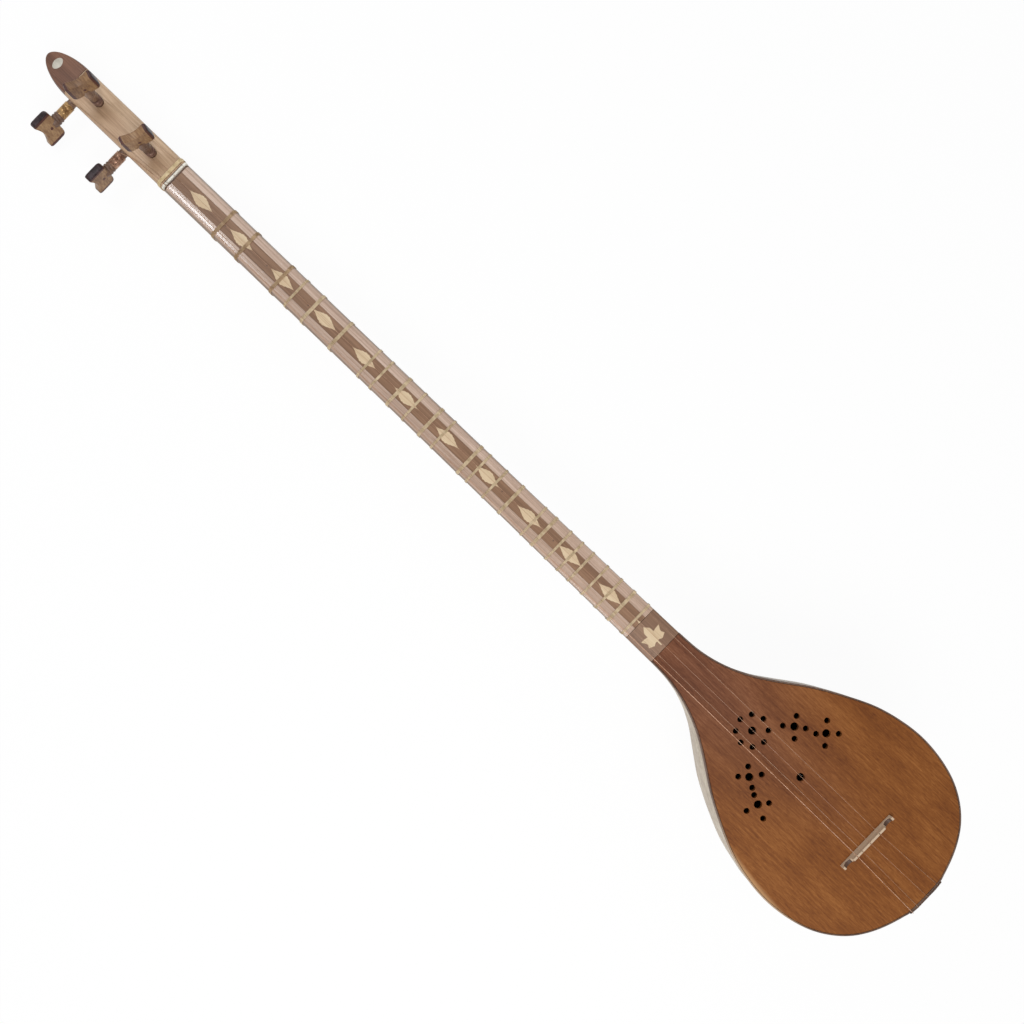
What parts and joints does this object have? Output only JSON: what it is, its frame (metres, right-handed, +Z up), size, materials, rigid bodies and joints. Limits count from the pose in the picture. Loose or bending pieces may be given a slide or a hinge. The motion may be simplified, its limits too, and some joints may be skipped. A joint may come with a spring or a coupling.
{
  "type": "setar",
  "caption": "Long-necked plucked lute with a pear-shaped staved bowl, pierced wooden soundboard, tied gut frets, turning pegs and a small movable bridge, lying on its back.",
  "frame": {"origin": "bottom centre of the bounding box, on the surface that the instrument lies on", "axes": "+X towards the head along the strings, +Y towards the side pegs, +Z up; the strings slope down to the head by the angle at which the instrument rests"},
  "size_m": [0.8436, 0.1578, 0.1319],
  "materials": {
    "board_wood": "satin varnish over mulberry",
    "binding_wood": "satin",
    "block_wood": "raw",
    "rib_wood": "satin varnish",
    "neck_wood": "satin varnish over walnut",
    "dark_wood": "satin",
    "pale_wood": "satin",
    "peg_wood": "satin",
    "bridge_wood": "matt",
    "bone": "polished bone",
    "gut": "oiled gut",
    "steel": "drawn wire",
    "brass": "drawn wire"
  },
  "bodies": {
    "instrument": {"soundboard": "board_wood", "edge_binding": "binding_wood", "tail_block": "block_wood", "bowl_rib_01": "rib_wood", "bowl_rib_02": "rib_wood", "bowl_rib_03": "rib_wood", "bowl_rib_04": "rib_wood", "bowl_rib_05": "rib_wood", "bowl_rib_06": "rib_wood", "bowl_rib_07": "rib_wood", "bowl_rib_08": "rib_wood", "bowl_rib_09": "rib_wood", "bowl_rib_10": "rib_wood", "bowl_rib_11": "rib_wood", "neck": "neck_wood", "head_end_cap": "dark_wood", "head_oval_inlay": "bone", "fingerboard_side_bass": "pale_wood", "fingerboard_side_treble": "pale_wood", "fingerboard_centre": "dark_wood", "leaf_panel": "dark_wood", "leaf_inlay": "pale_wood", "nut": "bone", "string_hold_ring": "gut", "tailpiece": "dark_wood", "string_bass": "brass", "string_second": "steel", "string_third": "brass", "string_first": "steel"},
    "fret_01": {"fret_01": "gut"},
    "fret_02": {"fret_02": "gut"},
    "fret_03": {"fret_03": "gut"},
    "fret_04": {"fret_04": "gut"},
    "fret_05": {"fret_05": "gut"},
    "fret_06": {"fret_06": "gut"},
    "fret_07": {"fret_07": "gut"},
    "fret_08": {"fret_08": "gut"},
    "fret_09": {"fret_09": "gut"},
    "fret_10": {"fret_10": "gut"},
    "fret_11": {"fret_11": "gut"},
    "fret_12": {"fret_12": "gut"},
    "fret_13": {"fret_13": "gut"},
    "fret_14": {"fret_14": "gut"},
    "fret_15": {"fret_15": "gut"},
    "fret_16": {"fret_16": "gut"},
    "fret_17": {"fret_17": "gut"},
    "fret_18": {"fret_18": "gut"},
    "fret_19": {"fret_19": "gut"},
    "fret_20": {"fret_20": "gut"},
    "fret_21": {"fret_21": "gut"},
    "fret_22": {"fret_22": "gut"},
    "fret_23": {"fret_23": "gut"},
    "fret_24": {"fret_24": "gut"},
    "fret_25": {"fret_25": "gut"},
    "peg_front_lower": {"peg_front_lower": "peg_wood"},
    "peg_front_upper": {"peg_front_upper": "peg_wood"},
    "peg_side_lower": {"peg_side_lower": "peg_wood"},
    "peg_side_upper": {"peg_side_upper": "peg_wood"},
    "bridge": {"bridge": "bridge_wood"}
  },
  "joints": [
    {"name": "peg_front_lower_turn", "type": "hinge", "parent": "instrument", "child": "peg_front_lower", "pos_m": [0.3229, -0.0004, 0.0308], "axis": [0.1334, 0.0872, 0.9872], "continuous": true},
    {"name": "peg_front_upper_turn", "type": "hinge", "parent": "instrument", "child": "peg_front_upper", "pos_m": [0.37334, -0.0004, 0.02399], "axis": [0.1334, 0.0872, 0.9872], "continuous": true},
    {"name": "peg_side_lower_turn", "type": "hinge", "parent": "instrument", "child": "peg_side_lower", "pos_m": [0.3402, 0.0122, 0.0214], "axis": [0, 1, 0], "continuous": true},
    {"name": "peg_side_upper_turn", "type": "hinge", "parent": "instrument", "child": "peg_side_upper", "pos_m": [0.39015, 0.0122, 0.01465], "axis": [0, 1, 0], "continuous": true},
    {"name": "bridge_slide", "type": "slide", "parent": "instrument", "child": "bridge", "axis": [0.991, 0, -0.1339], "range_m": [-0.001, 0.003]},
    {"name": "fret_01_slide", "type": "slide", "parent": "instrument", "child": "fret_01", "axis": [0.991, 0, -0.1339], "range_m": [-0.002, 0.002]},
    {"name": "fret_02_slide", "type": "slide", "parent": "instrument", "child": "fret_02", "axis": [0.991, 0, -0.1339], "range_m": [-0.002, 0.002]},
    {"name": "fret_03_slide", "type": "slide", "parent": "instrument", "child": "fret_03", "axis": [0.991, 0, -0.1339], "range_m": [-0.002, 0.002]},
    {"name": "fret_04_slide", "type": "slide", "parent": "instrument", "child": "fret_04", "axis": [0.991, 0, -0.1339], "range_m": [-0.002, 0.002]},
    {"name": "fret_05_slide", "type": "slide", "parent": "instrument", "child": "fret_05", "axis": [0.991, 0, -0.1339], "range_m": [-0.002, 0.002]},
    {"name": "fret_06_slide", "type": "slide", "parent": "instrument", "child": "fret_06", "axis": [0.991, 0, -0.1339], "range_m": [-0.002, 0.002]},
    {"name": "fret_07_slide", "type": "slide", "parent": "instrument", "child": "fret_07", "axis": [0.991, 0, -0.1339], "range_m": [-0.002, 0.002]},
    {"name": "fret_08_slide", "type": "slide", "parent": "instrument", "child": "fret_08", "axis": [0.991, 0, -0.1339], "range_m": [-0.002, 0.002]},
    {"name": "fret_09_slide", "type": "slide", "parent": "instrument", "child": "fret_09", "axis": [0.991, 0, -0.1339], "range_m": [-0.002, 0.002]},
    {"name": "fret_10_slide", "type": "slide", "parent": "instrument", "child": "fret_10", "axis": [0.991, 0, -0.1339], "range_m": [-0.002, 0.002]},
    {"name": "fret_11_slide", "type": "slide", "parent": "instrument", "child": "fret_11", "axis": [0.991, 0, -0.1339], "range_m": [-0.002, 0.002]},
    {"name": "fret_12_slide", "type": "slide", "parent": "instrument", "child": "fret_12", "axis": [0.991, 0, -0.1339], "range_m": [-0.002, 0.002]},
    {"name": "fret_13_slide", "type": "slide", "parent": "instrument", "child": "fret_13", "axis": [0.991, 0, -0.1339], "range_m": [-0.002, 0.002]},
    {"name": "fret_14_slide", "type": "slide", "parent": "instrument", "child": "fret_14", "axis": [0.991, 0, -0.1339], "range_m": [-0.002, 0.002]},
    {"name": "fret_15_slide", "type": "slide", "parent": "instrument", "child": "fret_15", "axis": [0.991, 0, -0.1339], "range_m": [-0.002, 0.002]},
    {"name": "fret_16_slide", "type": "slide", "parent": "instrument", "child": "fret_16", "axis": [0.991, 0, -0.1339], "range_m": [-0.002, 0.002]},
    {"name": "fret_17_slide", "type": "slide", "parent": "instrument", "child": "fret_17", "axis": [0.991, 0, -0.1339], "range_m": [-0.002, 0.002]},
    {"name": "fret_18_slide", "type": "slide", "parent": "instrument", "child": "fret_18", "axis": [0.991, 0, -0.1339], "range_m": [-0.002, 0.002]},
    {"name": "fret_19_slide", "type": "slide", "parent": "instrument", "child": "fret_19", "axis": [0.991, 0, -0.1339], "range_m": [-0.002, 0.002]},
    {"name": "fret_20_slide", "type": "slide", "parent": "instrument", "child": "fret_20", "axis": [0.991, 0, -0.1339], "range_m": [-0.002, 0.002]},
    {"name": "fret_21_slide", "type": "slide", "parent": "instrument", "child": "fret_21", "axis": [0.991, 0, -0.1339], "range_m": [-0.002, 0.002]},
    {"name": "fret_22_slide", "type": "slide", "parent": "instrument", "child": "fret_22", "axis": [0.991, 0, -0.1339], "range_m": [-0.002, 0.002]},
    {"name": "fret_23_slide", "type": "slide", "parent": "instrument", "child": "fret_23", "axis": [0.991, 0, -0.1339], "range_m": [-0.002, 0.002]},
    {"name": "fret_24_slide", "type": "slide", "parent": "instrument", "child": "fret_24", "axis": [0.991, 0, -0.1339], "range_m": [-0.002, 0.002]},
    {"name": "fret_25_slide", "type": "slide", "parent": "instrument", "child": "fret_25", "axis": [0.991, 0, -0.1339], "range_m": [-0.002, 0.002]}
  ]
}
